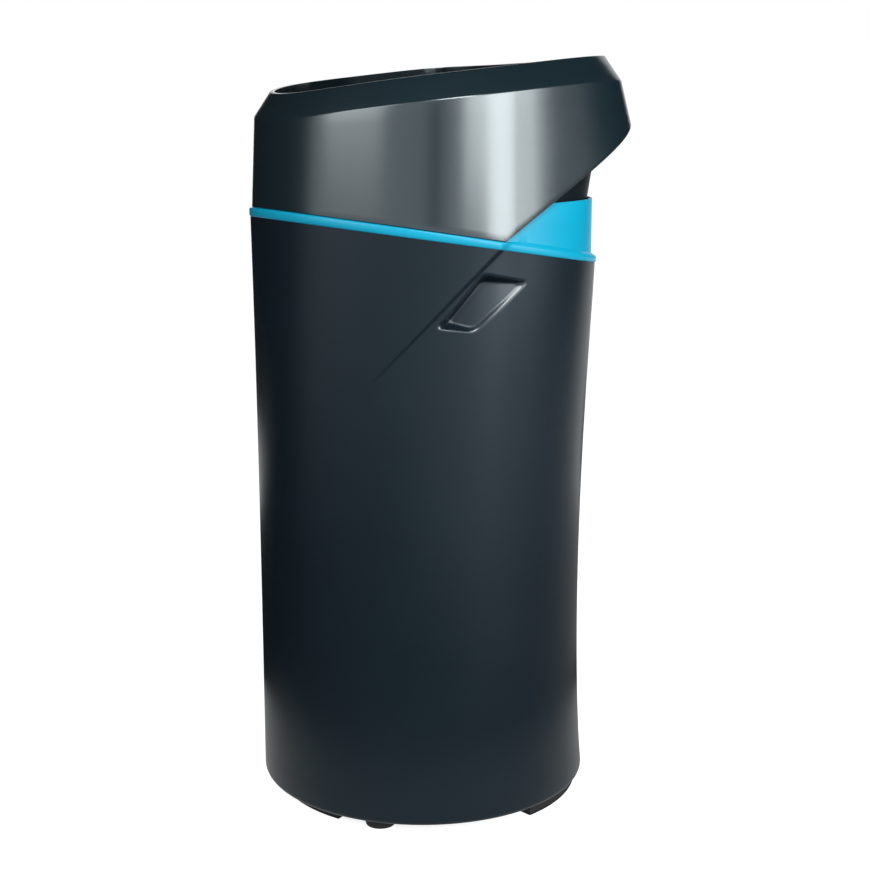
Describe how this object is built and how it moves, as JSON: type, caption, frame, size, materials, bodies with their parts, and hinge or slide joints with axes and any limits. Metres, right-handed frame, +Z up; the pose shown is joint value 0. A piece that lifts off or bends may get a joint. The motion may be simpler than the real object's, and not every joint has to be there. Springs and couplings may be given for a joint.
{
  "type": "water softener",
  "caption": "Tall cabinet water softener with a flared round salt tub, slanted blue accent rim, wedge lid with hinged salt door, and an inner resin tank under a motor-driven rotary valve.",
  "frame": {"origin": "centre of the round base, on the floor", "axes": "+Z up, front faces -Y, house pipes leave to the rear along +Y"},
  "size_m": [0.5606, 0.4922, 1.0871],
  "materials": {
    "anthracite": "fine matt texture",
    "lid_grey": "satin",
    "accent_blue": "satin",
    "deck_black": "polished",
    "shroud_black": "matt",
    "foot_black": "matt",
    "seal_black": "matt",
    "key_grey": "matt",
    "lens": "clear",
    "display": "smooth",
    "board_green": "solder mask",
    "steel": "zinc plated",
    "tank_blue": "wound fibre",
    "white_plastic": "smooth",
    "valve_black": "glass filled",
    "brass": "machined",
    "knob_red": "smooth"
  },
  "bodies": {
    "cabinet": {"cabinet": "anthracite", "foot_pads": "foot_black", "round_feet": "foot_black", "accent_rim": "accent_blue", "resin_tank": "tank_blue", "riser_tube": "white_plastic", "lower_strainer": "white_plastic", "upper_strainer": "white_plastic", "neck_clamp": "valve_black", "neck_o_ring": "seal_black", "valve_body": "valve_black", "rotor_seal": "seal_black", "wave_washer": "steel", "valve_cover": "valve_black", "cover_screws": "steel", "drive_motor": "steel", "motor_screws": "steel", "position_switch": "valve_black", "venturi_body": "valve_black", "venturi_cap": "valve_black", "venturi_o_ring": "seal_black", "turbine_support": "white_plastic", "bypass_body": "valve_black", "port_clips": "white_plastic", "drain_elbow": "white_plastic", "brine_well": "white_plastic", "brine_valve": "white_plastic", "brine_hose": "white_plastic", "overflow_elbow": "valve_black", "overflow_grommet": "seal_black"},
    "lid": {"lid_shell": "lid_grey", "rear_shroud": "shroud_black", "top_tray": "deck_black", "hinge_pins": "steel", "door_seal": "seal_black", "control_fascia": "deck_black", "display_window": "lens", "display_module": "display", "control_board": "board_green", "board_screws": "steel", "power_socket": "valve_black"},
    "salt_door": {"salt_door": "deck_black"},
    "key_up": {"key_up": "key_grey"},
    "key_down": {"key_down": "key_grey"},
    "key_menu": {"key_menu": "key_grey"},
    "key_enter": {"key_enter": "key_grey"},
    "rotor": {"rotor_disc": "white_plastic", "cam_gear": "white_plastic"},
    "pinion": {"motor_pinion": "brass"},
    "turbine": {"turbine": "white_plastic"},
    "bypass_spool": {"bypass_spool": "knob_red", "spool_o_rings": "seal_black"},
    "well_cap": {"well_cap": "valve_black"},
    "float": {"float": "white_plastic"}
  },
  "joints": [
    {"name": "lid_lift", "type": "slide", "parent": "cabinet", "child": "lid", "axis": [0, 0, 1], "range_m": [0, 0.25]},
    {"name": "salt_door_hinge", "type": "hinge", "parent": "lid", "child": "salt_door", "pos_m": [0, 0.02984, 1.05177], "axis": [-1, 0, 0], "range_deg": [0, 100]},
    {"name": "key_up_press", "type": "slide", "parent": "lid", "child": "key_up", "axis": [0, 0.1184, -0.993], "range_m": [0, 0.001], "stiffness_N_per_m": 500},
    {"name": "key_down_press", "type": "slide", "parent": "lid", "child": "key_down", "axis": [0, 0.1184, -0.993], "range_m": [0, 0.001], "stiffness_N_per_m": 500},
    {"name": "key_menu_press", "type": "slide", "parent": "lid", "child": "key_menu", "axis": [0, 0.1184, -0.993], "range_m": [0, 0.001], "stiffness_N_per_m": 500},
    {"name": "key_enter_press", "type": "slide", "parent": "lid", "child": "key_enter", "axis": [0, 0.1184, -0.993], "range_m": [0, 0.001], "stiffness_N_per_m": 500},
    {"name": "rotor_spin", "type": "hinge", "parent": "cabinet", "child": "rotor", "pos_m": [0, 0.04, 0.94], "axis": [0, 0, 1], "continuous": true},
    {"name": "pinion_spin", "type": "hinge", "parent": "cabinet", "child": "pinion", "pos_m": [0.06015, 0.04, 0.97], "axis": [0, 0, 1], "continuous": true},
    {"name": "turbine_spin", "type": "hinge", "parent": "cabinet", "child": "turbine", "pos_m": [-0.036, 0.121, 0.922], "axis": [0, 1, 0], "continuous": true},
    {"name": "bypass_pull", "type": "slide", "parent": "cabinet", "child": "bypass_spool", "axis": [1, 0, 0], "range_m": [0, 0.015]},
    {"name": "well_cap_lift", "type": "slide", "parent": "cabinet", "child": "well_cap", "axis": [0, 0, 1], "range_m": [0, 0.1]},
    {"name": "float_rise", "type": "slide", "parent": "cabinet", "child": "float", "axis": [0, 0, 1], "range_m": [0, 0.3]}
  ],
  "couplings": [
    {"joint": "pinion_spin", "follows": "rotor_spin", "ratio": -3}
  ]
}
